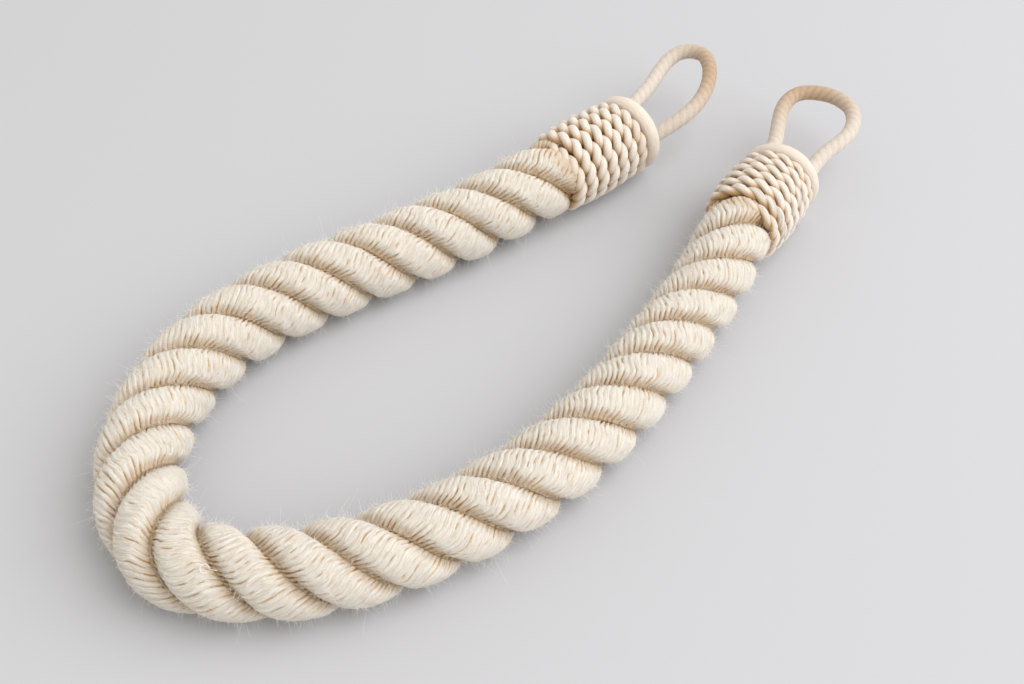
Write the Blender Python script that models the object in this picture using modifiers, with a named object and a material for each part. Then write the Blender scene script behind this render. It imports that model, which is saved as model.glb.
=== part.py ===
"""Curtain tieback: a thick three-strand rope lying in a U, with a wound binding and a cord loop at each end.

Millimetres in the tables, metres in Blender. The rope lies on z = 0 and is flat where it touches.
"""
import math

import bmesh
import bpy
import numpy as np
from mathutils import Matrix, Vector

MM = 0.001
GAP = 0.3
WELD = 0.02
KNOT_STEPS = 40

# Rope: radius over its strands and down in the creases between them, spacing of its sections, and how far
# its own weight flattens it on the surface.
ROPE_RADIUS = 14.2
CREASE_RADIUS = 8.5
STRANDS = 3
SECTION_STEP = 3.1
PRESS = 1.0

# Section of one strand: angle from its crown, in degrees, and share of the rope's radius there.
CREASE = CREASE_RADIUS / ROPE_RADIUS
LOBE = ((-12.0, 1.0), (12.0, 1.0), (31.0, 0.945), (46.0, 0.82), (60.0, CREASE), (74.0, 0.82), (89.0, 0.945))

# How full the rope is at distances along it: the arm with the slacker lay is a little thicker.
FULLNESS = ((0.0, 1.04), (200.0, 1.035), (300.0, 1.0), (600.0, 1.0))

# Turns of the lay, at distances along the rope.
LAY = (
    (0.0, 0.465), (150.0, 3.205), (200.0, 4.118), (260.0, 5.222),
    (320.0, 6.343), (350.0, 6.892), (430.0, 8.33), (600.0, 11.455),
)

# Where the middle of the rope runs, in plan, from the end of binding A round the bend to the end of
# binding B, and the move that puts the origin under the middle of the whole part.
CENTRING = (1.27, 8.79)
ROUTE = (
    (36.9, 84.8), (20.4, 67.7), (3.8, 50.5), (-4.8, 42.4), (-13.2, 34.9), (-31.0, 20.0),
    (-49.0, 5.8), (-68.4, -9.0), (-86.8, -24.5), (-102.8, -42.7), (-113.7, -65.4), (-117.3, -89.6),
    (-111.7, -114.0), (-97.8, -130.6), (-73.0, -133.2), (-49.0, -127.6), (-27.5, -116.6), (-7.5, -102.1),
    (10.5, -85.0), (26.0, -65.6), (39.6, -44.6), (51.8, -22.4), (64.2, 1.4), (70.4, 15.2),
    (75.6, 28.4), (86.0, 46.3), (96.5, 64.3),
)

# Bindings: spacing of the wound cord's turns along the rope at each end, the radius over each turn outward,
# the depth of the grooves between turns, and how much of that depth is left at shares of one turn.
PITCH = {"a": 5.65, "b": 4.88}
TURN_RADIUS = (15.8, 16.3, 16.8, 17.0, 17.0, 16.8, 16.2, 15.4)
TURN_DEPTH = 1.5
CROWN = ((0.0, 1.0), (0.18, 0.35), (0.5, 0.0), (0.82, 0.35))
AROUND = 32

# Inside a binding the rope is squeezed to this share of its size, from just inside the mouth and over this
# length, and it is lifted on its approach so that the wider binding rests on the same surface.
BOUND_SCALE = 0.8
SQUEEZE_START = 3.0
SQUEEZE_LENGTH = 9.0
MOUTH_RINGS = (6.5, 4.0, 2.0, 0.0)
LIFT_LENGTH = 45.0
END_BEYOND_TURNS = 2.5
END_ROUNDING = 0.88
BORE_END_RADIUS = 12.2
BORE_SLACK = 0.8

# Loops: cord radius, how far each leg is from the rope's middle, the slack round a leg in its hole, the depth
# of the hole and the straight stretch outside it.
LOOP_RADIUS = 3.0
LEG_OFFSET = 8.3
LEG_GAP = 0.5
LEG_DEPTH = 6.0
LEG_STRAIGHT = 1.5
LOOP_STEP = 3.2
ROUND_STEPS = 2

# Middle of each loop's cord past its binding: outward, to the left of outward, up from the rope's middle.
LOOP_A = (
    (6.0, 9.2, 0.9), (12.4, 10.3, 2.2), (18.8, 11.5, 3.4), (25.3, 13.2, 4.7), (31.7, 15.3, 6.2),
    (38.0, 16.5, 8.0), (43.3, 15.6, 9.7), (47.0, 12.3, 10.8), (48.2, 7.3, 11.5), (45.1, 1.2, 11.7),
    (39.4, -4.4, 11.5), (34.1, -8.1, 10.9), (28.2, -10.8, 9.8), (22.0, -12.3, 8.4), (15.8, -12.4, 6.6),
    (9.4, -10.9, 3.7), (4.2, -9.0, 1.1),
)
LOOP_B = (
    (5.0, 8.9, 0.6), (9.8, 9.8, 1.3), (14.9, 11.0, 2.0), (19.9, 12.8, 3.0), (25.1, 14.7, 4.0),
    (30.5, 16.3, 5.0), (36.5, 16.8, 6.0), (41.9, 15.1, 7.0), (45.2, 11.4, 7.7), (46.8, 7.2, 8.2),
    (47.5, 2.8, 8.6), (46.8, -2.1, 8.8), (44.7, -6.7, 8.8), (40.8, -10.1, 8.5), (35.4, -12.3, 7.9),
    (29.8, -12.8, 6.9), (24.0, -11.6, 5.6), (18.7, -9.7, 4.0), (12.0, -8.3, 2.1), (5.5, -8.2, 0.7),
)


def material(name, colour, roughness):
    mat = bpy.data.materials.new(name)
    mat.use_nodes = True
    shader = mat.node_tree.nodes["Principled BSDF"]
    shader.inputs["Base Color"].default_value = (*colour, 1.0)
    shader.inputs["Roughness"].default_value = roughness
    return mat


def curve_through(table, step):
    """Evenly spaced points, about step apart, on a smooth curve through the points of the table."""
    knots = np.array(table, float)
    chord = np.r_[0.0, np.cumsum(np.linalg.norm(np.diff(knots, axis=0), axis=1))]
    slope = np.gradient(knots, chord, axis=0, edge_order=2)
    fine = []
    for i in range(len(knots) - 1):
        span = chord[i + 1] - chord[i]
        t = np.linspace(0.0, 1.0, KNOT_STEPS, endpoint=False)[:, None]
        fine.append((2 * t ** 3 - 3 * t ** 2 + 1) * knots[i] + (t ** 3 - 2 * t ** 2 + t) * span * slope[i]
                    + (3 * t ** 2 - 2 * t ** 3) * knots[i + 1] + (t ** 3 - t ** 2) * span * slope[i + 1])
    fine = np.vstack(fine + [knots[-1:]])
    arc = np.r_[0.0, np.cumsum(np.linalg.norm(np.diff(fine, axis=0), axis=1))]
    count = max(2, round(arc[-1] / step))
    even = np.linspace(0.0, arc[-1], count + 1)
    return np.stack([np.interp(even, arc, fine[:, k]) for k in range(knots.shape[1])], axis=1), even


def smoothstep(x):
    x = np.clip(x, 0.0, 1.0)
    return x * x * (3.0 - 2.0 * x)


def along_table(arc, table):
    """Values of a two-column table at distances along the rope."""
    places, values = zip(*table)
    return np.interp(arc, places, values)


def bound_length(end):
    """Length of rope inside a binding and beyond its last turn."""
    return len(TURN_RADIUS) * PITCH[end] + END_BEYOND_TURNS


def rope_share(to_end, end):
    """How much of its full size the rope has at a distance from one end: less inside that end's binding."""
    into = (to_end - bound_length(end) - SQUEEZE_START) / SQUEEZE_LENGTH + 1.0
    return BOUND_SCALE + (1.0 - BOUND_SCALE) * smoothstep(into)


def rope_line():
    """Middle of the rope in 3-D, arc length, and how much of its full size the rope has at each point."""
    plan, arc = curve_through(ROUTE, SECTION_STEP)
    plan += np.array(CENTRING)
    size = along_table(arc, FULLNESS)
    height = ROPE_RADIUS * size - PRESS
    for end, to_end in (("a", arc), ("b", arc[-1] - arc)):
        lift = smoothstep(1.0 - (to_end - bound_length(end)) / LIFT_LENGTH)
        height = height * (1.0 - lift) + (max(TURN_RADIUS) - PRESS) * lift
        size = np.minimum(size, rope_share(to_end, end) * size)
    size[[0, -1]] *= END_ROUNDING
    return np.column_stack([plan, height]), arc, size


def link(obj, collection, mat=None):
    collection.objects.link(obj)
    if mat:
        obj.data.materials.append(mat)
    return obj


def poly_curve(name, points, cyclic=False, flat=False):
    """A curve object in metres on one straight-sided spline through points given in millimetres."""
    curve = bpy.data.curves.new(name, "CURVE")
    curve.dimensions = "2D" if flat else "3D"
    spline = curve.splines.new("POLY")
    spline.points.add(len(points) - 1)
    for place, point in zip(spline.points, points):
        place.co = (*(float(c) * MM for c in point), 1.0)
    spline.use_cyclic_u = cyclic
    return bpy.data.objects.new(name, curve)


def to_mesh(obj, collection, mat, cutters=()):
    """The object's final shape as one mesh, less the cutters, with its ends joined and cut flat at z = 0."""
    bpy.context.view_layer.update()
    shaped = bpy.data.meshes.new_from_object(obj.evaluated_get(bpy.context.evaluated_depsgraph_get()))
    shaped.transform(obj.matrix_world)
    name = obj.name
    bpy.data.objects.remove(obj)
    shaped.name = name
    solid = link(bpy.data.objects.new(name, shaped), collection)
    weld(shaped)
    for cutter in cutters:
        cut = solid.modifiers.new("leg hole", "BOOLEAN")
        cut.operation = "DIFFERENCE"
        cut.solver = "EXACT"
        cut.object = cutter
    if cutters:
        bpy.context.view_layer.update()
        holed = bpy.data.meshes.new_from_object(solid.evaluated_get(bpy.context.evaluated_depsgraph_get()))
        solid.modifiers.clear()
        solid.data = holed
        weld(holed)
    cut_flat(solid.data)
    solid.data.materials.clear()
    solid.data.materials.append(mat)
    solid.data.polygons.foreach_set("use_smooth", [True] * len(solid.data.polygons))
    return solid


def weld(mesh):
    shape = bmesh.new()
    shape.from_mesh(mesh)
    bmesh.ops.remove_doubles(shape, verts=shape.verts, dist=WELD * MM)
    bmesh.ops.recalc_face_normals(shape, faces=shape.faces)
    shape.to_mesh(mesh)
    shape.free()


def cut_flat(mesh):
    """Cuts off what reaches below z = 0 and closes each cut with a flat face."""
    shape = bmesh.new()
    shape.from_mesh(mesh)
    every = shape.verts[:] + shape.edges[:] + shape.faces[:]
    bmesh.ops.bisect_plane(shape, geom=every, plane_no=(0.0, 0.0, 1.0), clear_inner=True)
    bmesh.ops.remove_doubles(shape, verts=shape.verts, dist=WELD * MM)
    bmesh.ops.holes_fill(shape, edges=[edge for edge in shape.edges if edge.is_boundary])
    bmesh.ops.recalc_face_normals(shape, faces=shape.faces)
    shape.to_mesh(mesh)
    shape.free()


def end_frame(points, at_start):
    """Matrix whose X runs outward from a rope end, Y to the left of that and Z up, at the end's middle."""
    end, inner = (points[0], points[3]) if at_start else (points[-1], points[-4])
    out = Vector(end - inner).normalized()
    left = Vector((-out.y, out.x, 0.0)).normalized()
    turn = Matrix((out, left, out.cross(left))).transposed().to_4x4()
    return Matrix.Translation(Vector(end) * MM) @ turn


def lobed_outline():
    """Section of the rope: one round lobe for each strand and a crease between neighbours."""
    outline = []
    for strand in range(STRANDS):
        for angle, share in LOBE:
            turn = math.radians(angle + 360.0 / STRANDS * strand)
            reach = ROPE_RADIUS * share
            outline.append((reach * math.cos(turn), reach * math.sin(turn), 0.0))
    return outline


def build_rope(collection, guides, cutters, mat):
    profile = link(poly_curve("rope_section", lobed_outline(), cyclic=True, flat=True), guides)
    line, arc, size = rope_line()
    rope = link(poly_curve("rope", line), collection)
    rope.data.twist_mode = "Z_UP"
    rope.data.bevel_mode = "OBJECT"
    rope.data.bevel_object = profile
    rope.data.use_fill_caps = True
    for place, along, share in zip(rope.data.splines[0].points, arc, size):
        place.tilt = 2.0 * math.pi * float(along_table(along, LAY))
        place.radius = share
    return to_mesh(rope, collection, mat, cutters)


def binding_outline(end, fullness):
    """Section of a binding from its mouth outward: ribbed outside, a bore that follows the rope inside."""
    length = bound_length(end)
    outline = []
    for turn, radius in enumerate(TURN_RADIUS):
        for share, depth in CROWN:
            outline.append(((turn + share) * PITCH[end] - length, 0.0, radius - depth * TURN_DEPTH))
    outline.append((-END_BEYOND_TURNS, 0.0, TURN_RADIUS[-1] - TURN_DEPTH))
    outline.append((-END_BEYOND_TURNS, 0.0, BORE_END_RADIUS))
    for to_end in (END_BEYOND_TURNS + LEG_DEPTH, *(length - inside for inside in MOUTH_RINGS)):
        outline.append((-to_end, 0.0, ROPE_RADIUS * fullness * float(rope_share(to_end, end)) + BORE_SLACK))
    return outline


def build_binding(end, place, fullness, collection, mat):
    outline = binding_outline(end, fullness)
    name = f"binding_{end}"
    ring = bpy.data.meshes.new(name)
    count = len(outline)
    edges = [(i, (i + 1) % count) for i in range(count)]
    ring.from_pydata([[c * MM for c in point] for point in outline], edges, [])
    binding = link(bpy.data.objects.new(name, ring), collection)
    binding.matrix_world = place
    lathe = binding.modifiers.new("turned", "SCREW")
    lathe.axis = "X"
    lathe.steps = lathe.render_steps = AROUND
    lathe.use_merge_vertices = True
    lathe.merge_threshold = WELD * MM
    return to_mesh(binding, collection, mat)


def build_loop(name, table, place, collection, mat):
    inside = LEG_DEPTH - GAP
    straight = (-inside, -LEG_STRAIGHT, LEG_STRAIGHT)
    left_leg = [(out, LEG_OFFSET, 0.0) for out in straight]
    right_leg = [(out, -LEG_OFFSET, 0.0) for out in reversed(straight)]
    points, _ = curve_through((*left_leg, *table, *right_leg), LOOP_STEP)
    loop = link(poly_curve(name, points), collection)
    loop.matrix_world = place
    loop.data.bevel_depth = LOOP_RADIUS * MM
    loop.data.bevel_resolution = ROUND_STEPS
    loop.data.use_fill_caps = True
    return to_mesh(loop, collection, mat)


def leg_holes(place, guides, label, mat):
    """Cutters for the two holes that a loop's legs sit in."""
    holes = []
    for side, y in (("left", LEG_OFFSET), ("right", -LEG_OFFSET)):
        hole = poly_curve(f"hole_{label}_{side}", ((-LEG_DEPTH, y, 0.0), (END_BEYOND_TURNS, y, 0.0)))
        hole.matrix_world = place
        hole.data.bevel_depth = (LOOP_RADIUS + LEG_GAP) * MM
        hole.data.bevel_resolution = ROUND_STEPS
        hole.data.use_fill_caps = True
        holes.append(to_mesh(link(hole, guides), guides, mat))
    return holes


def main():
    for obj in list(bpy.data.objects):
        bpy.data.objects.remove(obj)
    scene = bpy.context.scene
    tieback = bpy.data.collections.new("rope_curtain_tieback")
    guides = bpy.data.collections.new("guides")
    scene.collection.children.link(tieback)
    scene.collection.children.link(guides)

    strand_cotton = material("unbleached cotton rope", (0.82, 0.74, 0.62), 0.95)
    cord_cotton = material("wound cotton cord", (0.76, 0.67, 0.54), 0.95)
    loop_cotton = material("cotton loop cord", (0.80, 0.71, 0.58), 0.95)

    line, _, _ = rope_line()
    place_a = end_frame(line, True)
    place_b = end_frame(line, False)
    holes = leg_holes(place_a, guides, "a", loop_cotton) + leg_holes(place_b, guides, "b", loop_cotton)
    build_rope(tieback, guides, holes, strand_cotton)
    build_binding("a", place_a, FULLNESS[0][1], tieback, cord_cotton)
    build_binding("b", place_b, FULLNESS[-1][1], tieback, cord_cotton)
    build_loop("loop_a", LOOP_A, place_a, tieback, loop_cotton)
    build_loop("loop_b", LOOP_B, place_b, tieback, loop_cotton)
    for guide in guides.objects:
        guide.hide_render = True
        guide.display_type = "WIRE"


main()
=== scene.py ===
import math

import bpy
import numpy as np
from bpy.props import FloatProperty, FloatVectorProperty, IntProperty, PointerProperty
from mathutils import Matrix, Vector


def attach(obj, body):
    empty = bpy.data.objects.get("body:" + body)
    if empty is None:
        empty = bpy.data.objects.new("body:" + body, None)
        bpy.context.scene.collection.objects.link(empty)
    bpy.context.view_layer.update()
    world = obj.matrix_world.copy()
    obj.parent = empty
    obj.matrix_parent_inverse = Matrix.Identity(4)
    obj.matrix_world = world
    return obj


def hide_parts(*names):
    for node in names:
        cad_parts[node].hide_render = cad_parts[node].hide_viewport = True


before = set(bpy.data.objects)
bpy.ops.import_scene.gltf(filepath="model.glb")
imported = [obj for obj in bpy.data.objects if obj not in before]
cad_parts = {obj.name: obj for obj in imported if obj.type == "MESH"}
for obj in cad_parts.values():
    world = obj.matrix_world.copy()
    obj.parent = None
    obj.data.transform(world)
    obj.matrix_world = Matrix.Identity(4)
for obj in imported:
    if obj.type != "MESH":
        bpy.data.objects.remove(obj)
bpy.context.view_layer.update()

bl_info = {
    "name": "Rope curtain tieback",
    "version": (1, 0, 0),
    "blender": (4, 5, 0),
    "location": "View3D > Sidebar > Tieback",
    "description": "Cotton rope lying in a U, with wound ends and a cord loop at each",
    "category": "Object",
}

# The sizes below are in millimetres unless they say otherwise. Meshes and settings take metres.
MM = 0.001

# The rope, as in the CAD: its radius, how far it is pressed flat below, and what centres its route.
ROPE_RADIUS = 14.2
PRESS = 1.0
CENTRING = (1.27, 8.79)
# Its fullness, and the turns that its lay has made, each at distances along it.
FULLNESS = ((0.0, 1.04), (200.0, 1.035), (300.0, 1.0), (600.0, 1.0))
LAY = (
    (0.0, 0.465), (150.0, 3.205), (200.0, 4.118), (260.0, 5.222),
    (320.0, 6.343), (350.0, 6.892), (430.0, 8.33), (600.0, 11.455),
)
# Its middle seen from above, from end a round the bend to end b.
ROUTE = (
    (36.9, 84.8), (20.4, 67.7), (3.8, 50.5), (-4.8, 42.4), (-13.2, 34.9), (-31.0, 20.0),
    (-49.0, 5.8), (-68.4, -9.0), (-86.8, -24.5), (-102.8, -42.7), (-113.7, -65.4), (-117.3, -89.6),
    (-111.7, -114.0), (-97.8, -130.6), (-73.0, -133.2), (-49.0, -127.6), (-27.5, -116.6), (-7.5, -102.1),
    (10.5, -85.0), (26.0, -65.6), (39.6, -44.6), (51.8, -22.4), (64.2, 1.4), (70.4, 15.2),
    (75.6, 28.4), (86.0, 46.3), (96.5, 64.3),
)
# Spacing of the points along the route, and of those that give the direction of its ends.
ROUTE_STEP = 1.5
END_STEP = 3.1

# The strands stop this far inside the rope's ends, out of sight under the bindings.
STRAND_INSET = 20.0
# Rows of mesh to a yarn, columns across a strand, and how far round from its crown they reach.
YARN_ROWS = 7
STRAND_COLUMNS = 25
STRAND_EDGE = math.radians(135.0)
# How much of a crevice between yarns, and of a slit where they part, a row takes by its distance from it.
CREVICE_SHARE = (1.0, 0.5, 0.14, 0.0)
SLIT_SHARE = (1.0, 0.25, 0.0, 0.0)
# How far yarns stand proud of each other or lie low.
YARN_PROUD = 0.22
# The grain's scale on a strand: yarn length for a radian round it, and width across for a length of rope.
YARN_PER_RADIAN = 4.6
ACROSS_PER_LENGTH = 1.85
# The grooves between strands reach in to the first radius, or to the second where a binding packs them.
GROOVE_RADIUS = 9.8
PACKED_RADIUS = 10.6
# Angles from a strand's crown, in radians, at which its yarns start to open and shade starts to be painted
# on its sides, and the angle over which each is complete.
OPENING_FROM = 0.7
SIDE_SHADE_FROM = 1.05
SIDE_FADE = 0.9
# How much shade is painted brown into each kind of hollow, from 0 on a crown to 1.
PAINTED_SHADE = {"crevice": 0.14, "slit": 0.8, "side": 0.42, "groove": 0.22, "mouth": 0.35}

# The bindings: spacing of the turns at each end, and their outer radius from the mouth to the last turn.
PITCH = {"a": 5.65, "b": 4.88}
TURN_RADIUS = (15.8, 16.3, 16.8, 17.0, 17.0, 16.8, 16.2, 15.4)
END_BEYOND_TURNS = 2.5
# A binding draws the rope in to this share of its size, from this far inside its mouth, over this length.
BOUND_SCALE = 0.8
DRAWN_IN_FROM = 3.0
DRAWN_IN_OVER = 9.0
# The rope rises to its height in a binding over this length outside the mouth.
LIFT_LENGTH = 45.0
# The turn where the twine comes out from under itself, how deep it starts, and over what turn it rises.
TWINE_START = 0.5
TUCK_DEPTH = 1.8
TUCK_TURNS = 0.25
# Turns are counted from this angle short of the rope's left, just past its underside.
TURN_ANGLE = 0.6 * math.pi
# About the radius at which the twine's middle winds, which gives its turns their number of points.
WOUND_RADIUS = 14.0
TWINE_STEP = 0.8
TWINE_SIDES = 10
# The last turn: how early it starts, in turns, then its radius and its place outward as shares of the
# spacing, and how brown it is.
LAST_TURN_LEAD = 0.15
LAST_TURN_THICKNESS = 0.6
LAST_TURN_SHIFT = 0.2
LAST_TURN_BROWNED = 0.15
LAST_TURN_STEP = 0.9
LAST_TURN_SIDES = 18

# The loops: the cord's radius, then its legs' place beside the rope's middle, depth and straight stretch.
LOOP_RADIUS = 3.0
LEG_OFFSET = 8.3
LEG_DEPTH = 6.0
LEG_STRAIGHT = 1.5
LOOP_STEP = 0.8
LOOP_SIDES = 30
# Each loop has shade painted on it in brown, most at this share of its length, this much and over this share.
SHADE_SHARE = {"a": 0.6, "b": 0.42}
SHADE_DEPTH = 0.7
SHADE_SPREAD = 0.18
# Points on each loop: outward from the rope's end, to the left of that, and up.
LOOP_A = (
    (6.0, 9.2, 0.9), (12.4, 10.3, 2.2), (18.8, 11.5, 3.4), (25.3, 13.2, 4.7), (31.7, 15.3, 6.2),
    (38.0, 16.5, 8.0), (43.3, 15.6, 9.7), (47.0, 12.3, 10.8), (48.2, 7.3, 11.5), (45.1, 1.2, 11.7),
    (39.4, -4.4, 11.5), (34.1, -8.1, 10.9), (28.2, -10.8, 9.8), (22.0, -12.3, 8.4), (15.8, -12.4, 6.6),
    (9.4, -10.9, 3.7), (4.2, -9.0, 1.1),
)
LOOP_B = (
    (5.0, 8.9, 0.6), (9.8, 9.8, 1.3), (14.9, 11.0, 2.0), (19.9, 12.8, 3.0), (25.1, 14.7, 4.0),
    (30.5, 16.3, 5.0), (36.5, 16.8, 6.0), (41.9, 15.1, 7.0), (45.2, 11.4, 7.7), (46.8, 7.2, 8.2),
    (47.5, 2.8, 8.6), (46.8, -2.1, 8.8), (44.7, -6.7, 8.8), (40.8, -10.1, 8.5), (35.4, -12.3, 7.9),
    (29.8, -12.8, 6.9), (24.0, -11.6, 5.6), (18.7, -9.7, 4.0), (12.0, -8.3, 2.1), (5.5, -8.2, 0.7),
)

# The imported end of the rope: its radius, how deep its rim lies, how far it rises, its tone, rings and sides.
ROPE_END_RADIUS = 12.6
ROPE_END_DEPTH = 4.5
ROPE_END_RISE = 5.0
ROPE_END_BROWNED = 0.35
ROPE_END_RINGS = 14
ROPE_END_SIDES = 48

# Unevenness: how much it is either way, and the length over which it comes and goes. The amounts are in
# millimetres on the strands, in radians for the plies' sway, and otherwise a share of the cord's radius.
YARN_SWAY = (0.26, 9.0)
YARN_QUIVER = (0.13, 3.1)
STRAND_LUMPS = (0.2, 17.0)
PLY_SWAY = (0.35, 9.0)
PLY_LUMPS = (0.06, 4.0)
LOOP_LUMPS = (0.015, 6.0)

# Loose fibres: their shortest and longest, how steeply they stand, their joints and the seed of their draw.
FUZZ = {"shortest": 0.5, "longest": 2.1, "stand": 0.65, "joints": 2, "seed": 7}
STRAYS = {"shortest": 1.5, "longest": 5.0, "stand": 0.4, "joints": 5, "seed": 8}
# A stray's thickness as a share of the fuzz's.
STRAY_THICKNESS = 0.7
# Fibres are rooted this far outside the bindings, and within this angle of a strand's crown, in radians.
FIBRE_CLEARANCE = 1.0
FIBRE_EDGE = 1.65
# One fibre stands out in a small open ring over a groove in the bend.
CURL_MIDDLE = (-84.6, -131.4, 25.4)
CURL_RADIUS = 1.3
CURL_THICKNESS = 0.1
CURL_SIDES = 4

# The camera, fitted to the photo: place in metres, lens, and degrees by which it looks down and leans.
CAMERA_PLACE = (-0.00373, -0.31721, 0.334)
CAMERA_LENS = 44.3
CAMERA_DOWN = 47.7
CAMERA_LEAN = 4.6
# The stage, in metres: the floor's reach and depth, and the large light's width, distance and direction.
FLOOR_REACH = 12.0
FLOOR_DEPTH = 0.0001
KEY_SIZE = 2.6
KEY_DISTANCE = 1.9
KEY_DIRECTION = (0.85, -0.12, 1.0)

ROPE_COTTON = "unbleached cotton, loosely spun"


def smoothstep(x):
    x = np.clip(x, 0.0, 1.0)
    return x * x * (3.0 - 2.0 * x)


def unit(rows):
    return rows / np.maximum(np.linalg.norm(rows, axis=-1, keepdims=True), 1e-9)


def distance_along(points):
    return np.r_[0.0, np.cumsum(np.linalg.norm(np.diff(points, axis=0), axis=1))]


def ring_angles(sides):
    return np.linspace(0.0, 2.0 * math.pi, sides, endpoint=False)


def curve_through(table, step):
    """Evenly spaced points on a smooth curve through the table's, about step apart, and their distances."""
    knots = np.array(table, float)
    chord = distance_along(knots)
    slope = np.gradient(knots, chord, axis=0, edge_order=2)
    t = np.linspace(0.0, 1.0, 40, endpoint=False)[:, None]
    fine = []
    for i in range(len(knots) - 1):
        span = chord[i + 1] - chord[i]
        fine.append((2 * t ** 3 - 3 * t ** 2 + 1) * knots[i] + (t ** 3 - 2 * t ** 2 + t) * span * slope[i]
                    + (3 * t ** 2 - 2 * t ** 3) * knots[i + 1] + (t ** 3 - t ** 2) * span * slope[i + 1])
    fine = np.vstack(fine + [knots[-1:]])
    arc = distance_along(fine)
    count = max(2, round(arc[-1] / step))
    even = np.linspace(0.0, arc[-1], count + 1)
    return np.stack([np.interp(even, arc, column) for column in fine.T], axis=1), even


def soft_noise(u, v, seed):
    """Smooth noise from -1 to 1 over two coordinates, one lattice value to each unit."""
    size = 256
    table = np.random.RandomState(seed).uniform(-1.0, 1.0, (size, size))
    u, v = np.broadcast_arrays(u, v)
    iu, iv = np.floor(u).astype(int), np.floor(v).astype(int)
    fu, fv = smoothstep(u - iu), smoothstep(v - iv)
    left, right = iu % size, (iu + 1) % size
    near, far = iv % size, (iv + 1) % size
    low = table[left, near] * (1 - fu) + table[right, near] * fu
    high = table[left, far] * (1 - fu) + table[right, far] * fu
    return low * (1 - fv) + high * fv


def uneven(kind, along, across, seed):
    """Smooth unevenness of one of the kinds listed above, at distances along and places across."""
    amount, length = kind
    return amount * soft_noise(along / length, across, seed)


def above_surface(points):
    """Eases whatever would reach below the surface, z = 0, up to it."""
    ease = 0.25
    z = points[..., 2]
    points[..., 2] = np.where(z < ease, ease * np.exp((np.minimum(z, ease) - ease) / ease), z)
    return points


def bound_length(end):
    """Length of rope inside a binding and beyond its last turn."""
    return len(TURN_RADIUS) * PITCH[end] + END_BEYOND_TURNS


class RopeLine:
    """The middle of the rope, with its directions, fullness and lay, read at any distance along it."""

    def __init__(self):
        plan, self.arc = curve_through(ROUTE, ROUTE_STEP)
        plan += np.array(CENTRING)
        self.length = self.arc[-1]
        size = np.interp(self.arc, *zip(*FULLNESS))
        height = ROPE_RADIUS * size - PRESS
        for end, to_end in (("a", self.arc), ("b", self.length - self.arc)):
            outside = to_end - bound_length(end)
            lift = smoothstep(1.0 - outside / LIFT_LENGTH)
            height = height * (1.0 - lift) + (max(TURN_RADIUS) - PRESS) * lift
            free = smoothstep((outside + DRAWN_IN_FROM) / DRAWN_IN_OVER + 1.0)
            size = np.minimum(size, (BOUND_SCALE + (1.0 - BOUND_SCALE) * free) * size)
        self.middle = np.column_stack([plan, height])
        self.size = size
        self.ahead = unit(np.gradient(self.middle, self.arc, axis=0))

    def read(self, s, rows):
        return np.stack([np.interp(s, self.arc, column) for column in rows.T], axis=-1)

    def fullness(self, s):
        return np.interp(s, self.arc, self.size)

    def strand_frame(self, s, strand):
        """Middle at distances s, and directions ahead, outward to a strand's crown and round the rope."""
        ahead = unit(self.read(s, self.ahead))
        left = unit(np.stack([-ahead[..., 1], ahead[..., 0], np.zeros_like(ahead[..., 0])], axis=-1))
        up = np.cross(ahead, left)
        crown = 2.0 * math.pi * (np.interp(s, *zip(*LAY)) + strand / 3.0) + math.pi
        outward = np.cos(crown)[..., None] * left + np.sin(crown)[..., None] * up
        round_rope = -np.sin(crown)[..., None] * left + np.cos(crown)[..., None] * up
        return self.read(s, self.middle), ahead, outward, round_rope


def end_frame(end):
    """Middle of a rope end, and directions outward, to the left of outward and up."""
    points, _ = curve_through(ROUTE, END_STEP)
    points = points + np.array(CENTRING)
    height = max(TURN_RADIUS) - PRESS
    tip, inner = (points[0], points[3]) if end == "a" else (points[-1], points[-4])
    out = unit(np.array([*(tip - inner), 0.0]))
    left = np.array([-out[1], out[0], 0.0])
    return np.array([*tip, height]), out, left, np.array([0.0, 0.0, 1.0])


def link_object(name, data):
    thing = bpy.data.objects.new(name, data)
    bpy.context.scene.collection.objects.link(thing)
    return thing


def make_piece(name, points, faces, mat, layers):
    """A smooth mesh object from points in millimetres and faces, with its point attributes."""
    mesh = bpy.data.meshes.new(name)
    mesh.from_pydata((np.asarray(points).reshape(-1, 3) * MM).tolist(), [], np.asarray(faces).tolist())
    mesh.polygons.foreach_set("use_smooth", [True] * len(mesh.polygons))
    for key, values in layers.items():
        values = np.asarray(values, np.float32)
        if values.ndim > 1:
            mesh.attributes.new(key, "FLOAT_VECTOR", "POINT").data.foreach_set("vector", values.ravel())
        else:
            mesh.attributes.new(key, "FLOAT", "POINT").data.foreach_set("value", values)
    mesh.update()
    mesh.materials.append(mat)
    piece = link_object(name, mesh)
    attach(piece, "root")
    return piece


def grain_place(along, across, apart):
    """Where a point takes its grain: along its yarn, across it, and a number that sets yarns apart."""
    return np.stack(np.broadcast_arrays(along, across, apart), axis=-1).reshape(-1, 3)


def grid_faces(rows, columns, around):
    """Four-sided faces of a grid of rows, joined round its columns if around is true."""
    near = np.arange(rows - 1)[:, None] * columns
    far = near + columns
    j = np.arange(columns if around else columns - 1)[None, :]
    k = (j + 1) % columns
    return np.stack([near + j, near + k, far + k, far + j], axis=-1).reshape(-1, 4)


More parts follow.
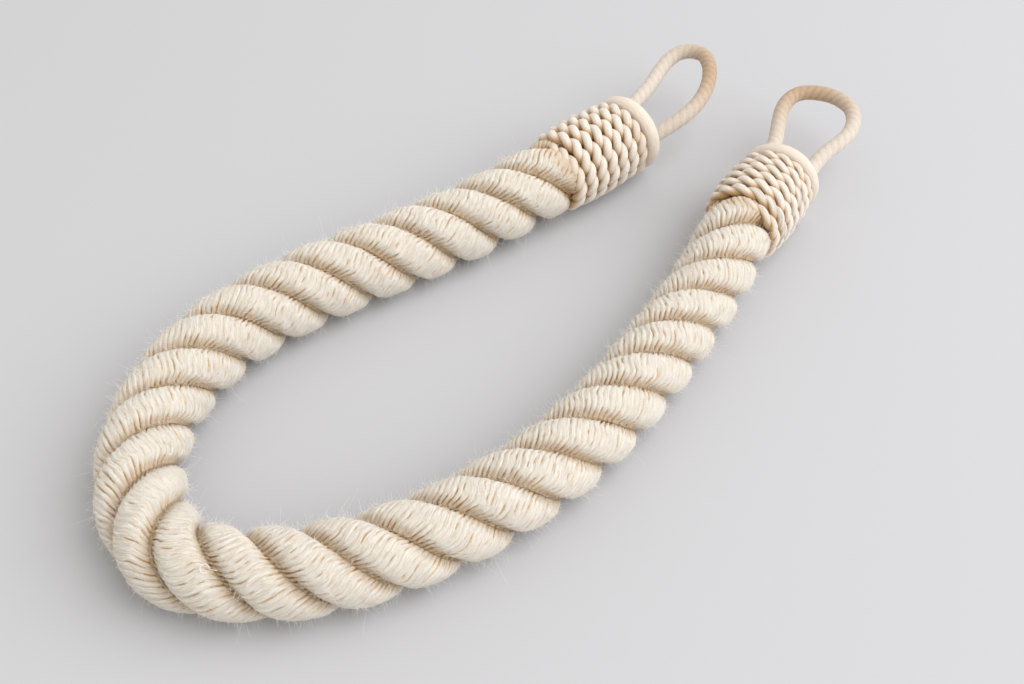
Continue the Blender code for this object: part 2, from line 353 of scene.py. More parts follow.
def tube(route, radius, sides):
    """Points round a route, in rings of so many sides, with the ring's turn kept as even as it can be."""
    ahead = unit(np.gradient(route, axis=0))
    side = np.zeros_like(ahead)
    first = np.cross(ahead[0], (0.0, 0.0, 1.0))
    side[0] = unit(first if np.linalg.norm(first) > 0.1 else np.cross(ahead[0], (0.0, 1.0, 0.0)))
    for i in range(1, len(route)):
        side[i] = unit(side[i - 1] - ahead[i] * np.dot(side[i - 1], ahead[i]))
    top = np.cross(ahead, side)
    angle = ring_angles(sides)[None, :, None]
    circle = np.cos(angle) * side[:, None] + np.sin(angle) * top[:, None]
    radius = np.asarray(radius, float)
    if radius.ndim < 2:
        radius = radius.reshape(-1, 1)
    return route[:, None] + radius[..., None] * circle


def rounded_ends(along, radius):
    """A cord's radius along its length, drawn in to a round end at its start and finish."""
    to_end = np.minimum(along, along[-1] - along)
    inside = np.clip(1.0 - to_end / radius, 0.0, 1.0)
    return radius * np.sqrt(np.maximum(1.0 - inside ** 2, 0.0004))


def linear(hex_colour):
    """Linear colour of an sRGB hex value."""
    parts = [int(hex_colour[i:i + 2], 16) / 255.0 for i in (1, 3, 5)]
    return tuple(c / 12.92 if c <= 0.04045 else ((c + 0.055) / 1.055) ** 2.4 for c in parts)


def set_sockets(node, values):
    for key, value in values.items():
        node.inputs[key].default_value = value


def add_node(tree, kind, values=None, links=None, **settings):
    """Adds a node with its settings, its fixed inputs and its linked inputs."""
    node = tree.nodes.new(kind)
    for key, value in settings.items():
        setattr(node, key, value)
    set_sockets(node, values or {})
    for key, socket in (links or {}).items():
        tree.links.new(socket, node.inputs[key])
    return node


def new_material(name):
    mat = bpy.data.materials.new(name)
    mat.use_nodes = True
    return mat, mat.node_tree, mat.node_tree.nodes["Principled BSDF"]


def cotton_rope(settings):
    """Unbleached cotton, loosely spun: cream on the crowns, painted straw-brown shade where yarns and strands
    meet.
    """
    mat, tree, shader = new_material(ROPE_COTTON)
    yarn = add_node(tree, "ShaderNodeAttribute", attribute_name="yarn_mm")
    hollow = add_node(tree, "ShaderNodeAttribute", attribute_name="hollow")
    # Tufts of fibre show as streaks about 0.4 mm wide and 4 mm long, drawn coarser than the real 0.02 mm.
    streak_place = add_node(tree, "ShaderNodeVectorMath", {1: (0.26, 2.4, 5.0)},
                            {0: yarn.outputs["Vector"]}, operation="MULTIPLY")
    streaks = add_node(tree, "ShaderNodeTexNoise",
                       {"Scale": 1.0, "Detail": 3.0, "Roughness": 0.65, "Distortion": 0.7},
                       {"Vector": streak_place.outputs[0]})
    # Slubs and thin places in the yarn, about 6 mm long.
    slub_place = add_node(tree, "ShaderNodeVectorMath", {1: (0.16, 0.5, 5.0)},
                          {0: yarn.outputs["Vector"]}, operation="MULTIPLY")
    slubs = add_node(tree, "ShaderNodeTexNoise", {"Scale": 1.0, "Detail": 2.0},
                     {"Vector": slub_place.outputs[0]})
    parted = add_node(tree, "ShaderNodeMapRange",
                      {"From Min": 0.48, "From Max": 0.76, "To Min": 0.0, "To Max": 0.55},
                      {"Value": streaks.outputs["Fac"]})
    patch = add_node(tree, "ShaderNodeMapRange",
                     {"From Min": 0.35, "From Max": 0.7, "To Min": 0.0, "To Max": 0.08},
                     {"Value": slubs.outputs["Fac"]})
    deeper = add_node(tree, "ShaderNodeMath", None, {0: parted.outputs[0], 1: patch.outputs[0]},
                      operation="ADD")
    # The hollow attribute carries the painted shade of the strands' hollows; with the grain's streaks and
    # slubs it mixes the cream towards the hollow colour.
    depth = add_node(tree, "ShaderNodeMath", None, {0: deeper.outputs[0], 1: hollow.outputs["Fac"]},
                     operation="ADD", use_clamp=True)
    tone = add_node(tree, "ShaderNodeMix",
                    {"A": (*settings.crown_colour, 1.0), "B": (*settings.hollow_colour, 1.0)},
                    {"Factor": depth.outputs[0]}, data_type="RGBA")
    tree.links.new(tone.outputs["Result"], shader.inputs["Base Color"])
    lift = add_node(tree, "ShaderNodeMath", {0: 1.0}, {1: streaks.outputs["Fac"]}, operation="SUBTRACT")
    bump = add_node(tree, "ShaderNodeBump", {"Strength": 1.0, "Distance": 0.0011},
                    {"Height": lift.outputs[0]})
    tree.links.new(bump.outputs[0], shader.inputs["Normal"])
    set_sockets(shader, {
        "Roughness": 0.95, "Specular IOR Level": 0.2, "Sheen Weight": 0.25, "Sheen Roughness": 0.6,
        "Subsurface Weight": 0.3, "Subsurface Radius": (1.0, 0.82, 0.62), "Subsurface Scale": 0.0015,
    })
    return mat


def cotton_twine(settings):
    """Cotton twine of two plies, hard twisted: a duller, pinker beige with a fine slanting grain."""
    mat, tree, shader = new_material("cotton twine, hard twisted")
    ply = add_node(tree, "ShaderNodeAttribute", attribute_name="yarn_mm")
    hollow = add_node(tree, "ShaderNodeAttribute", attribute_name="hollow")
    # Fibres show as flecks about 0.4 mm wide and 2 mm long, drawn coarser than the real 0.02 mm.
    fleck_place = add_node(tree, "ShaderNodeVectorMath", {1: (0.45, 2.6, 3.0)},
                           {0: ply.outputs["Vector"]}, operation="MULTIPLY")
    grain = add_node(tree, "ShaderNodeTexNoise", {"Scale": 1.0, "Detail": 4.0, "Roughness": 0.6},
                     {"Vector": fleck_place.outputs[0]})
    # The hollow attribute carries the shade painted between the plies and the last turn's own browner tone.
    tone = add_node(tree, "ShaderNodeMix",
                    {"A": (*settings.crown_colour, 1.0), "B": (*settings.hollow_colour, 1.0)},
                    {"Factor": hollow.outputs["Fac"]}, data_type="RGBA")
    fleck = add_node(tree, "ShaderNodeMapRange",
                     {"From Min": 0.35, "From Max": 0.75, "To Min": 1.0, "To Max": 0.86},
                     {"Value": grain.outputs["Fac"]})
    shaded = add_node(tree, "ShaderNodeVectorMath", None,
                      {0: tone.outputs["Result"], "Scale": fleck.outputs[0]}, operation="SCALE")
    tree.links.new(shaded.outputs[0], shader.inputs["Base Color"])
    bump = add_node(tree, "ShaderNodeBump", {"Strength": 1.0, "Distance": 0.0005},
                    {"Height": grain.outputs["Fac"]})
    tree.links.new(bump.outputs[0], shader.inputs["Normal"])
    set_sockets(shader, {"Roughness": 0.9, "Specular IOR Level": 0.25, "Sheen Weight": 0.2})
    return mat


def cotton_cord(settings):
    """Smooth cotton cord, three strands twisted: greyish cream, faintly flecked, with shade painted brown in
    one place.
    """
    mat, tree, shader = new_material("cotton cord, three strands twisted")
    cord = add_node(tree, "ShaderNodeAttribute", attribute_name="yarn_mm")
    hollow = add_node(tree, "ShaderNodeAttribute", attribute_name="hollow")
    # Fibres show as flecks about 0.5 mm wide and 1 mm long, drawn coarser than the real 0.02 mm.
    fleck_place = add_node(tree, "ShaderNodeVectorMath", {1: (0.9, 2.2, 2.0)},
                           {0: cord.outputs["Vector"]}, operation="MULTIPLY")
    grain = add_node(tree, "ShaderNodeTexNoise", {"Scale": 1.0, "Detail": 3.0, "Roughness": 0.55},
                     {"Vector": fleck_place.outputs[0]})
    fleck = add_node(tree, "ShaderNodeMapRange",
                     {"From Min": 0.4, "From Max": 0.7, "To Min": 0.0, "To Max": 0.3},
                     {"Value": grain.outputs["Fac"]})
    # The hollow attribute carries the shade painted between the strands and on one stretch of the loop; the
    # grain's flecks add to it.
    depth = add_node(tree, "ShaderNodeMath", None, {0: fleck.outputs[0], 1: hollow.outputs["Fac"]},
                     operation="ADD", use_clamp=True)
    tone = add_node(tree, "ShaderNodeMix",
                    {"A": (*settings.crown_colour, 1.0), "B": (*settings.hollow_colour, 1.0)},
                    {"Factor": depth.outputs[0]}, data_type="RGBA")
    tree.links.new(tone.outputs["Result"], shader.inputs["Base Color"])
    bump = add_node(tree, "ShaderNodeBump", {"Strength": 0.35, "Distance": 0.0002},
                    {"Height": grain.outputs["Fac"]})
    tree.links.new(bump.outputs[0], shader.inputs["Normal"])
    set_sockets(shader, {"Roughness": 0.85, "Specular IOR Level": 0.3, "Sheen Weight": 0.2})
    return mat


def cotton_fibre(settings):
    """Loose cotton fibre ends: pale and nearly weightless, a soft halo along the rope's edges."""
    mat, tree, shader = new_material("loose cotton fibre")
    towards_tip = add_node(tree, "ShaderNodeAttribute", attribute_name="towards_tip")
    tone = add_node(tree, "ShaderNodeMix",
                    {"A": (*settings.root_colour, 1.0), "B": (*settings.tip_colour, 1.0)},
                    {"Factor": towards_tip.outputs["Fac"]}, data_type="RGBA")
    tree.links.new(tone.outputs["Result"], shader.inputs["Base Color"])
    set_sockets(shader, {"Roughness": 0.9, "Specular IOR Level": 0.2})
    return mat


def matte_board(settings):
    """Matte painted board: even pale grey with the faintest mottle."""
    mat, tree, shader = new_material("matte painted board")
    place = add_node(tree, "ShaderNodeTexCoord")
    mottle = add_node(tree, "ShaderNodeTexNoise", {"Scale": 6.0, "Detail": 2.0},
                      {"Vector": place.outputs["Object"]})
    darker = tuple(0.985 * c for c in settings.floor_colour)
    tone = add_node(tree, "ShaderNodeMix",
                    {"A": (*settings.floor_colour, 1.0), "B": (*darker, 1.0)},
                    {"Factor": mottle.outputs["Fac"]}, data_type="RGBA")
    tree.links.new(tone.outputs["Result"], shader.inputs["Base Color"])
    set_sockets(shader, {"Roughness": 0.9, "Specular IOR Level": 0.2})
    return mat


class TiebackRopeSettings(bpy.types.PropertyGroup):
    strand_radius: FloatProperty(
        name="Strand circle", description="Distance from the rope's middle to a strand's middle",
        default=7.8 * MM, unit="LENGTH")
    strand_depth: FloatProperty(
        name="Strand depth", description="Half a strand's size across the rope's radius",
        default=6.0 * MM, unit="LENGTH")
    strand_width: FloatProperty(
        name="Strand width", description="Half a strand's size round the rope",
        default=8.4 * MM, unit="LENGTH")
    yarns: IntProperty(
        name="Yarns", description="Yarns that cross one full turn round a strand", default=20)
    yarn_advance: FloatProperty(
        name="Yarn advance", description="Rope length for a yarn's one turn round its strand",
        default=21.3 * MM, unit="LENGTH")
    yarn_depth: FloatProperty(
        name="Yarn depth", description="Depth of the crevices between yarns",
        default=0.5 * MM, unit="LENGTH")
    slit_depth: FloatProperty(
        name="Slit depth", description="Extra depth where two yarns part",
        default=0.7 * MM, unit="LENGTH")
    crown_colour: FloatVectorProperty(
        name="Crown colour", description="Cotton on the crowns",
        subtype="COLOR", default=linear("#EDE9DF"))
    # The colour of the shade painted into the hollows, and of the grain's streaks and slubs.
    hollow_colour: FloatVectorProperty(
        name="Hollow colour", description="Cotton deep between yarns and strands",
        subtype="COLOR", default=linear("#CAA165"))


class TiebackBindingSettings(bpy.types.PropertyGroup):
    ply_offset: FloatProperty(
        name="Ply offset", description="From the twine's middle to a ply's, as a share of its spacing",
        default=0.21, subtype="FACTOR")
    ply_radius: FloatProperty(
        name="Ply radius", description="Radius of a ply as a share of the twine's spacing",
        default=0.31, subtype="FACTOR")
    crossings_a: IntProperty(
        name="Ply crossings, end a", description="Times the plies cross in one turn round the rope",
        default=15)
    crossings_b: IntProperty(
        name="Ply crossings, end b", description="Times the plies cross in one turn round the rope",
        default=14)
    crown_colour: FloatVectorProperty(
        name="Crown colour", description="Twine on its crowns",
        subtype="COLOR", default=linear("#F2E9DD"))
    # The colour of the shade painted between the plies and where the twine is tucked; the last turn takes a
    # little of it all over as its own tone.
    hollow_colour: FloatVectorProperty(
        name="Hollow colour", description="Twine between its plies",
        subtype="COLOR", default=linear("#C8A473"))


class TiebackLoopSettings(bpy.types.PropertyGroup):
    cord_lay: FloatProperty(
        name="Cord lay", description="Length of cord in one turn of its three strands",
        default=10.0 * MM, unit="LENGTH")
    cord_relief: FloatProperty(
        name="Cord relief", description="Depth between the cord's strands",
        default=0.2 * MM, unit="LENGTH")
    crown_colour: FloatVectorProperty(
        name="Cord colour", description="Loop cord in the light",
        subtype="COLOR", default=linear("#D6CFC5"))
    # The colour of the shade painted between the cord's strands and on one stretch of each loop.
    hollow_colour: FloatVectorProperty(
        name="Shade colour", description="Loop cord where it is tanned and between its strands",
        subtype="COLOR", default=linear("#AC8E6D"))


class TiebackFibreSettings(bpy.types.PropertyGroup):
    fuzz_count: IntProperty(
        name="Fuzz", description="Short fibre ends on the rope", default=32000)
    stray_count: IntProperty(
        name="Strays", description="Longer fibres that stand well off the rope", default=3500)
    thickness: FloatProperty(
        name="Thickness", description="Width of a fibre end, drawn coarse enough to show",
        default=0.1 * MM, unit="LENGTH")
    root_colour: FloatVectorProperty(
        name="Root colour", description="Fibre at the rope",
        subtype="COLOR", default=linear("#F6EFE6"))
    tip_colour: FloatVectorProperty(
        name="Tip colour", description="Fibre at its tip",
        subtype="COLOR", default=linear("#FDFBF8"))


class TiebackStageSettings(bpy.types.PropertyGroup):
    floor_colour: FloatVectorProperty(
        name="Floor colour", description="Pale matte floor",
        subtype="COLOR", default=linear("#BEBFC2"))
    key_power: FloatProperty(
        name="Key light", description="Power of the large light at the right",
        default=38.8, unit="POWER")
    sky_strength: FloatProperty(
        name="Fill", description="Strength of the even white fill", default=0.84)


def strand_mesh(line, strand, settings):
    """One strand as rows that run along its yarns, with a crevice between yarns and a slit here and there."""
    advance = settings.yarn_advance / MM
    step = advance / (settings.yarns * YARN_ROWS)
    start, stop = STRAND_INSET, line.length - STRAND_INSET
    psi = np.linspace(STRAND_EDGE, -STRAND_EDGE, STRAND_COLUMNS)[None, :]
    # A row slants along the rope with its yarn, so its two ends are this many rows apart.
    shift = round(STRAND_EDGE / math.pi * settings.yarns * YARN_ROWS)
    count = round((stop - start) / step) + shift
    row = np.arange(count)[:, None]
    s = start - shift * step / 2.0 + row * step - psi * advance / (2.0 * math.pi)
    along = -YARN_PER_RADIAN * psi
    seed = 100 * (strand + 1)
    s = (s + uneven(YARN_SWAY, s, psi * 0.9 + 50.0, seed)
         + uneven(YARN_QUIVER, s, psi * 1.5 + 50.0, seed + 6))

    full = line.fullness(s)
    radial = full * (settings.strand_radius / MM + settings.strand_depth / MM * np.cos(psi)
                     + uneven(STRAND_LUMPS, s, psi * 0.8 + 20.0, seed + 2))
    tangential = full * settings.strand_width / MM * np.sin(psi)
    packed = smoothstep((0.96 - full) / 0.14)
    least = full * GROOVE_RADIUS * (1.0 - packed) + PACKED_RADIUS * packed
    pressed_out = np.maximum(least / np.hypot(radial, tangential), 1.0)
    groove = smoothstep((pressed_out - 1.0) / 0.06)
    # The floors of two strands' grooves overlap a little, so that no gap shows between them.
    radial = radial * pressed_out
    tangential = tangential * pressed_out * (1.0 + 0.12 * groove)
    middle, _, outward, round_rope = line.strand_frame(s, strand)
    points = middle + radial[..., None] * outward + tangential[..., None] * round_rope
    normal = unit(np.cross(np.gradient(points, axis=1), np.gradient(points, axis=0)))
    facing = (((1.0 - groove) * np.cos(psi) + groove)[..., None] * outward
              + np.sin(psi)[..., None] * round_rope)
    normal *= np.sign(np.sum(normal * facing, axis=-1, keepdims=True))

    # The crevices vary along each yarn and open towards the strand's sides, where more yarns part.
    yarn = row // YARN_ROWS
    nearest = (row + YARN_ROWS // 2) // YARN_ROWS
    away = np.abs(row - nearest * YARN_ROWS)
    crevice_share = np.array(CREVICE_SHARE)[away]
    opening = smoothstep((np.abs(psi) - OPENING_FROM) / SIDE_FADE)
    closeness = soft_noise(nearest * 1.0, along / 4.0 + nearest * 5.37, seed + 1)
    crevice = (0.55 + 0.5 * closeness + 0.35 * opening) * crevice_share
    parting = soft_noise(nearest * 1.0, along / 2.9 + nearest * 7.31, seed + 3)
    slit = smoothstep((parting - 0.34 + 0.4 * opening) / 0.5) * np.array(SLIT_SHARE)[away]
    proud = soft_noise(yarn + 0.5, along / 8.0 + yarn * 5.9, seed + 5) * (1.0 - crevice_share)
    height = (YARN_PROUD * proud - settings.yarn_depth / MM * (crevice - 0.3)
              - settings.slit_depth / MM * slit)
    points = above_surface(points + height[..., None] * normal)

    # Shade is painted brown into those hollows, down the strand's sides and at the mouths of the bindings.
    side = smoothstep((np.abs(psi) - SIDE_SHADE_FROM) / SIDE_FADE)
    beyond = np.minimum(s - bound_length("a"), line.length - s - bound_length("b"))
    mouth = 1.0 - smoothstep((beyond + 1.0) / 6.0)
    hollows = {"crevice": crevice, "slit": slit, "side": side, "groove": groove, "mouth": mouth}
    hollow = sum(PAINTED_SHADE[kind] * share for kind, share in hollows.items())

    # A strip down the strand's hidden side joins the two ends of its rows.
    index = np.arange(count * STRAND_COLUMNS).reshape(count, STRAND_COLUMNS)
    last, first = index[shift:, 0], index[:-shift, -1]
    back = np.stack([first[:-1], last[:-1], last[1:], first[1:]], axis=-1)
    faces = np.vstack([grid_faces(count, STRAND_COLUMNS, False), back])
    layers = {
        "yarn_mm": grain_place(along, row * step * ACROSS_PER_LENGTH, seed),
        "hollow": np.clip(hollow, 0.0, 1.0).ravel(),
    }
    return points, faces, layers


class TIEBACK_OT_rope(bpy.types.Operator):
    """Makes the rope's three strands, laid right-handed, with the yarns that show on them"""
    bl_idname = "tieback.rope"
    bl_label = "Rope strands"

    def execute(self, context):
        settings = context.scene.tieback_rope
        mat = cotton_rope(settings)
        line = RopeLine()
        for strand in range(3):
            points, faces, layers = strand_mesh(line, strand, settings)
            piece = make_piece(f"strand_{strand + 1}", points, faces, mat, layers)
            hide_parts("rope")
        return {"FINISHED"}


def wound_path(end, first, last, step):
    """The twine's middle between two turns, with its outward and axial directions, distances and turns."""
    tip, out, left, up = end_frame(end)
    count = round((last - first) * 2.0 * math.pi * WOUND_RADIUS / step)
    turn = np.linspace(first, last, count + 1)
    radius = np.interp(turn - 0.5, np.arange(len(TURN_RADIUS)), TURN_RADIUS) - PITCH[end] / 2.0
    radius = radius - TUCK_DEPTH * (1.0 - smoothstep((turn - TWINE_START) / TUCK_TURNS))
    angle = 2.0 * math.pi * turn - TURN_ANGLE
    outward = np.cos(angle)[:, None] * left + np.sin(angle)[:, None] * up
    axial = (turn * PITCH[end] - bound_length(end))[:, None] * out
    points = tip + axial + radius[:, None] * outward
    return points, outward, np.broadcast_to(out, points.shape), distance_along(points), turn


def twine_mesh(end, crossings, settings):
    """The twine's two plies, wound round one end of the rope up to its last turn."""
    pitch = PITCH[end]
    last = len(TURN_RADIUS) - 1.0
    points, outward, axial, along, turn = wound_path(end, TWINE_START, last, TWINE_STEP)
    rings = []
    for ply in range(2):
        gamma = math.pi * (ply - crossings * turn) + uneven(PLY_SWAY, along, 0.5, 50 + ord(end))
        lean = np.cos(gamma)[:, None] * outward + np.sin(gamma)[:, None] * axial
        lumps = uneven(PLY_LUMPS, along, ply * 9.0 + 0.5, 40 + ord(end))
        thick = rounded_ends(along, settings.ply_radius * pitch) * (1.0 + lumps)
        rings.append(tube(points + settings.ply_offset * pitch * lean, thick, TWINE_SIDES))
    faces = grid_faces(len(points), TWINE_SIDES, True)
    faces = np.vstack([faces, faces + len(points) * TWINE_SIDES])
    reach = np.concatenate([np.sum((ring - points[:, None]) * outward[:, None], axis=-1) for ring in rings])
    # Shade is painted brown on the twine between its plies, where it comes out, and where it goes under the
    # last turn.
    from_start = np.tile(turn - TWINE_START, 2)[:, None]
    to_last = np.tile(last - turn, 2)[:, None]
    tucked = 1.0 - smoothstep(from_start / 0.4) * smoothstep(to_last / 0.7)
    hollow = np.clip(1.0 - smoothstep((reach / pitch - 0.05) / 0.35) + 0.35 * tucked, 0.0, 1.0)
    both = np.tile(along, 2)[:, None]
    across = ring_angles(TWINE_SIDES) * settings.ply_radius * pitch - 0.5 * both
    layers = {
        "yarn_mm": grain_place(both, across, np.repeat([0.0, 11.0], len(along))[:, None]),
        "hollow": hollow.ravel(),
    }
    return above_surface(np.concatenate(rings)), faces, layers


def last_turn_mesh(end):
    """The smooth last turn, thicker than the twine, that holds the loop's legs."""
    pitch = PITCH[end]
    last = len(TURN_RADIUS) - 1.0
    points, _, axial, along, _ = wound_path(end, last - LAST_TURN_LEAD, last + 1.0, LAST_TURN_STEP)
    thick = rounded_ends(along, LAST_TURN_THICKNESS * pitch)
    ring = tube(points + LAST_TURN_SHIFT * pitch * axial, thick, LAST_TURN_SIDES)
    layers = {
        "yarn_mm": grain_place(along[:, None], ring_angles(LAST_TURN_SIDES) * 3.0, 1.0),
        "hollow": np.full(len(points) * LAST_TURN_SIDES, LAST_TURN_BROWNED),
    }
    return above_surface(ring), grid_faces(len(points), LAST_TURN_SIDES, True), layers


class TIEBACK_OT_bindings(bpy.types.Operator):
    """Makes the twine wound round each end of the rope, with the smooth last turn that holds the loop"""
    bl_idname = "tieback.bindings"
    bl_label = "Wound bindings"

    def execute(self, context):
        settings = context.scene.tieback_binding
        mat = cotton_twine(settings)
        for end, crossings in (("a", settings.crossings_a), ("b", settings.crossings_b)):
            made = {"wound_twine": twine_mesh(end, crossings, settings), "last_turn": last_turn_mesh(end)}
            for name, (points, faces, layers) in made.items():
                piece = make_piece(f"{name}_{end}", points, faces, mat, layers)
                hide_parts(f"binding_{end}")
        return {"FINISHED"}


def loop_route(table, end):
    """Middle of a loop's cord, from inside the rope's end, out round the loop and back in."""
    tip, out, left, up = end_frame(end)
    straight = (-LEG_DEPTH, -LEG_STRAIGHT, LEG_STRAIGHT)
    leg_out = [(x, LEG_OFFSET, 0.0) for x in straight]
    leg_back = [(x, -LEG_OFFSET, 0.0) for x in reversed(straight)]
    local, _ = curve_through((*leg_out, *table, *leg_back), LOOP_STEP)
    return tip + local[:, :1] * out + local[:, 1:2] * left + local[:, 2:] * up


def loop_mesh(route, along, end, settings):
    """A loop's cord along its route, with its three strands in low relief."""
    along = along[:, None]
    angle = ring_angles(LOOP_SIDES)
    lay = 2.0 * math.pi * along / (settings.cord_lay / MM)
    between = (1.0 - np.abs(np.cos(1.5 * (angle + lay)))) ** 2
    # Shade is painted brown over one stretch of each loop, as well as between the cord's strands.
    shadowed = SHADE_DEPTH * np.exp(-((along / along[-1] - SHADE_SHARE[end]) / SHADE_SPREAD) ** 2)
    lumps = uneven(LOOP_LUMPS, along, 0.5, 70 + ord(end))
    radius = LOOP_RADIUS * (1.01 + lumps) - settings.cord_relief / MM * between
    layers = {
        "yarn_mm": grain_place(along, LOOP_RADIUS * (angle + lay), 2.0),
        "hollow": (0.3 * between + shadowed).ravel(),
    }
    return tube(route, radius, LOOP_SIDES), grid_faces(len(route), LOOP_SIDES, True), layers


def rope_end_mesh(end):
    """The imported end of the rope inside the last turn, a low uneven dome that the loop's legs go into."""
    tip, out, left, up = end_frame(end)
    share = np.linspace(0.0, 1.0, ROPE_END_RINGS)[:, None]
    angle = ring_angles(ROPE_END_SIDES)[None, :]
    reach = ROPE_END_RADIUS * (1.0 - share ** 2.6)
    bumps = 0.35 * soft_noise(angle * 5.0 + 3.0, share * 9.0, 90 + ord(end))
    depth = -ROPE_END_DEPTH + ROPE_END_RISE * share ** 0.6 + bumps * share
    points = (tip + depth[..., None] * out + (reach * np.cos(angle))[..., None] * left
              + (reach * np.sin(angle))[..., None] * up)
    layers = {
        "yarn_mm": grain_place(reach, angle * 4.0, 5.0),
        "hollow": np.full(bumps.size, ROPE_END_BROWNED),
    }
    return points, grid_faces(ROPE_END_RINGS, ROPE_END_SIDES, True), layers


class TIEBACK_OT_loops(bpy.types.Operator):
    """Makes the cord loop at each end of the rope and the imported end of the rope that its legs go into"""
    bl_idname = "tieback.loops"
    bl_label = "Cord loops"

    def execute(self, context):
        settings = context.scene.tieback_loop
        mat = cotton_cord(settings)
        rope_mat = bpy.data.materials[ROPE_COTTON]
        for end, table in (("a", LOOP_A), ("b", LOOP_B)):
            route = loop_route(table, end)
            along = distance_along(route)
            points, faces, layers = loop_mesh(route, along, end, settings)
            piece = make_piece(f"cord_loop_{end}", points, faces, mat, layers)
            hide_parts(f"loop_{end}")

            points, faces, layers = rope_end_mesh(end)
            piece = make_piece(f"rope_end_{end}", points, faces, rope_mat, layers)
        return {"FINISHED"}


def fibre_mesh(line, rope, thickness, count, shortest, longest, stand, joints, seed):
    """Loose fibre ends, each a thin three-sided hair rooted on a strand."""
    rng = np.random.RandomState(seed)
    s = rng.uniform(bound_length("a") + FIBRE_CLEARANCE,
                    line.length - bound_length("b") - FIBRE_CLEARANCE, count)
    psi = rng.uniform(-FIBRE_EDGE, FIBRE_EDGE, count)
    strand = rng.randint(0, 3, count)
    full = line.fullness(s)
    middle, ahead, outward, round_rope = line.strand_frame(s, strand)
    radial = full * (rope.strand_radius + rope.strand_depth * np.cos(psi)) / MM
    tangential = full * rope.strand_width * np.sin(psi) / MM
    root = middle + radial[:, None] * outward + tangential[:, None] * round_rope
    normal = unit(np.cos(psi)[:, None] * outward + 0.8 * np.sin(psi)[:, None] * round_rope)
    lie = unit(rng.normal(size=(count, 3)) + 0.5 * ahead)
    length = shortest + (longest - shortest) * rng.uniform(size=count) ** 2.2
    curl = unit(rng.normal(size=(count, 3)))

    # Each fibre starts just under the yarns, stands and lies over evenly, and curls more towards its tip.
    share = np.linspace(0.0, 1.0, joints)[None, :, None]
    stretch = share * (stand * normal[:, None] + 0.8 * lie[:, None]) + 1.1 * share ** 2 * curl[:, None]
    route = root[:, None] + length[:, None, None] * stretch - 0.2 * normal[:, None]
    route[..., 2] = np.maximum(route[..., 2], 0.15)
    step = unit(np.gradient(route, axis=1))
    side = unit(np.cross(step, unit(rng.normal(size=(count, 1, 3)))))
    top = np.cross(step, side)
    width = thickness / 2.0 * (1.0 - 0.6 * share)
    corners = [route + width * (math.cos(a) * side + math.sin(a) * top) for a in ring_angles(3)]
    points = np.stack(corners, axis=2)
    faces = grid_faces(joints, 3, True)[None] + 3 * joints * np.arange(count)[:, None, None]
    layers = {"towards_tip": np.broadcast_to(share, points.shape[:3]).ravel()}
    return points, faces.reshape(-1, 4), layers


def looped_mesh():
    """One fibre that leaves the rope straight and closes into a small open ring."""
    turn = np.linspace(-0.2, 1.7 * math.pi, 26)[:, None]
    ring = np.array(CURL_MIDDLE) + CURL_RADIUS * (np.cos(turn) * np.array((1.0, 0.06, 0.05))
                                                  + np.sin(turn) * np.array((-0.08, 0.74, 0.67)))
    route = np.vstack([ring[:1] + (2.2, 0.3, -0.6), ring])
    layers = {"towards_tip": np.ones(len(route) * CURL_SIDES)}
    return tube(route, CURL_THICKNESS, CURL_SIDES), grid_faces(len(route), CURL_SIDES, True), layers


class TIEBACK_OT_fibres(bpy.types.Operator):
    """Makes the short fuzz and the longer stray fibres that stand off the rope's yarns"""
    bl_idname = "tieback.fibres"
    bl_label = "Loose fibres"

    def execute(self, context):
        settings = context.scene.tieback_fibre
        rope = context.scene.tieback_rope
        mat = cotton_fibre(settings)
        line = RopeLine()
        thickness = settings.thickness / MM
        fuzz = fibre_mesh(line, rope, thickness, settings.fuzz_count, **FUZZ)
        strays = fibre_mesh(line, rope, STRAY_THICKNESS * thickness, settings.stray_count, **STRAYS)
        made = {"short_fuzz": fuzz, "stray_fibres": strays, "looped_fibre": looped_mesh()}
        for name, (points, faces, layers) in made.items():
            piece = make_piece(name, points, faces, mat, layers)
        return {"FINISHED"}


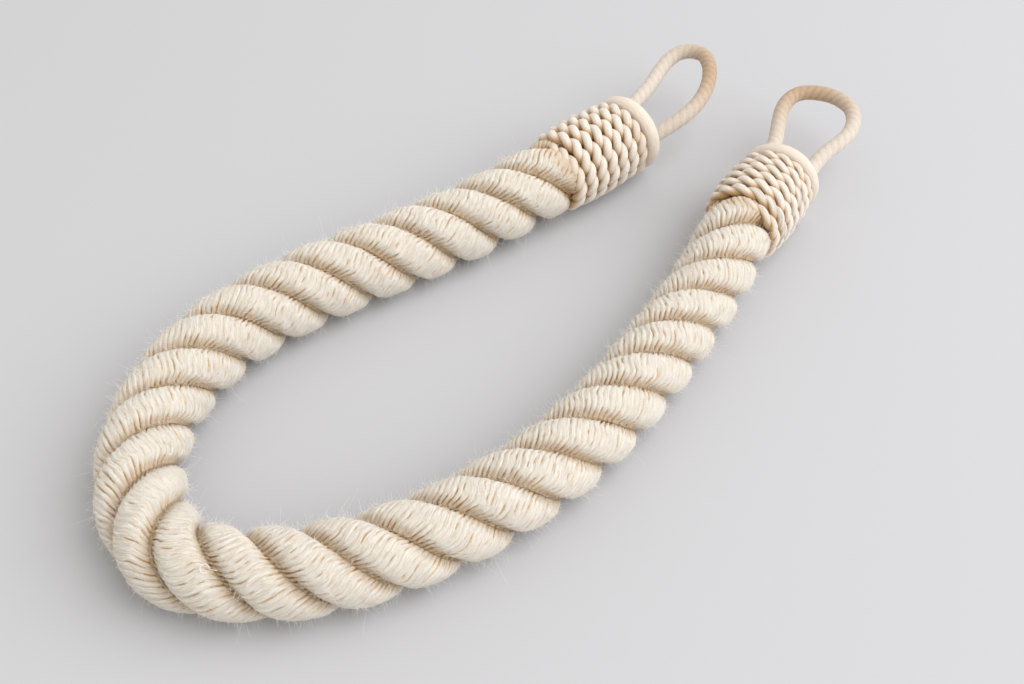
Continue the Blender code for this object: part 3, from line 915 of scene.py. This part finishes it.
class TIEBACK_OT_stage(bpy.types.Operator):
    """Makes the camera, the soft light and the pale floor"""
    bl_idname = "tieback.stage"
    bl_label = "Stage"

    def execute(self, context):
        scene = context.scene
        settings = scene.tieback_stage
        camera = bpy.data.cameras.new("camera")
        camera.sensor_width = 36.0
        camera.lens = CAMERA_LENS
        camera.clip_start = 0.01
        holder = link_object("camera", camera)
        scene.camera = holder
        down, lean = math.radians(CAMERA_DOWN), math.radians(CAMERA_LEAN)
        level = Vector((1.0, 0.0, 0.0))
        rise = Vector((0.0, math.sin(down), math.cos(down)))
        look = Vector((0.0, math.cos(down), -math.sin(down)))
        right = math.cos(lean) * level + math.sin(lean) * rise
        top = -math.sin(lean) * level + math.cos(lean) * rise
        turn = Matrix((right, top, -look)).transposed().to_4x4()
        holder.matrix_world = Matrix.Translation(Vector(CAMERA_PLACE)) @ turn

        floor = bpy.data.meshes.new("floor")
        corners = ((-1.0, -1.0), (1.0, -1.0), (1.0, 1.0), (-1.0, 1.0))
        floor.from_pydata([(x * FLOOR_REACH, y * FLOOR_REACH, -FLOOR_DEPTH) for x, y in corners],
                          [], [(0, 1, 2, 3)])
        floor.materials.append(matte_board(settings))
        floor_piece = link_object("floor", floor)

        key = bpy.data.lights.new("key", "AREA")
        key.shape = "DISK"
        key.size = KEY_SIZE
        key.energy = settings.key_power
        key.color = linear("#FBFBFF")
        lamp = link_object("key", key)
        place = Vector(KEY_DIRECTION).normalized() * KEY_DISTANCE
        lamp.matrix_world = Matrix.Translation(place) @ place.to_track_quat("Z", "Y").to_matrix().to_4x4()

        world = bpy.data.worlds.new("fill")
        scene.world = world
        world.use_nodes = True
        set_sockets(world.node_tree.nodes["Background"],
                    {"Color": (*linear("#FFFBF5"), 1.0), "Strength": settings.sky_strength})
        scene.view_settings.view_transform = "Standard"
        return {"FINISHED"}


# For each operator, the name that its settings have on the scene, and their group.
PARTS = (
    (TIEBACK_OT_stage, "tieback_stage", TiebackStageSettings),
    (TIEBACK_OT_rope, "tieback_rope", TiebackRopeSettings),
    (TIEBACK_OT_bindings, "tieback_binding", TiebackBindingSettings),
    (TIEBACK_OT_loops, "tieback_loop", TiebackLoopSettings),
    (TIEBACK_OT_fibres, "tieback_fibre", TiebackFibreSettings),
)


class TIEBACK_PT_panel(bpy.types.Panel):
    """Lists the tieback's pieces and the sizes and colours that can be changed"""
    bl_idname = "TIEBACK_PT_panel"
    bl_label = "Rope curtain tieback"
    bl_space_type = "VIEW_3D"
    bl_region_type = "UI"
    bl_category = "Tieback"

    def draw(self, context):
        for operator, key, group in PARTS:
            box = self.layout.box()
            box.operator(operator.bl_idname)
            for name in group.__annotations__:
                box.prop(getattr(context.scene, key), name)


def register():
    for operator, key, group in PARTS:
        bpy.utils.register_class(group)
        bpy.utils.register_class(operator)
        setattr(bpy.types.Scene, key, PointerProperty(type=group))
    bpy.utils.register_class(TIEBACK_PT_panel)


def unregister():
    bpy.utils.unregister_class(TIEBACK_PT_panel)
    for operator, key, group in reversed(PARTS):
        delattr(bpy.types.Scene, key)
        bpy.utils.unregister_class(operator)
        bpy.utils.unregister_class(group)


def main():
    register()
    bpy.ops.tieback.stage()
    bpy.ops.tieback.rope()
    bpy.ops.tieback.bindings()
    bpy.ops.tieback.loops()
    bpy.ops.tieback.fibres()


if __name__ == "__main__":
    main()
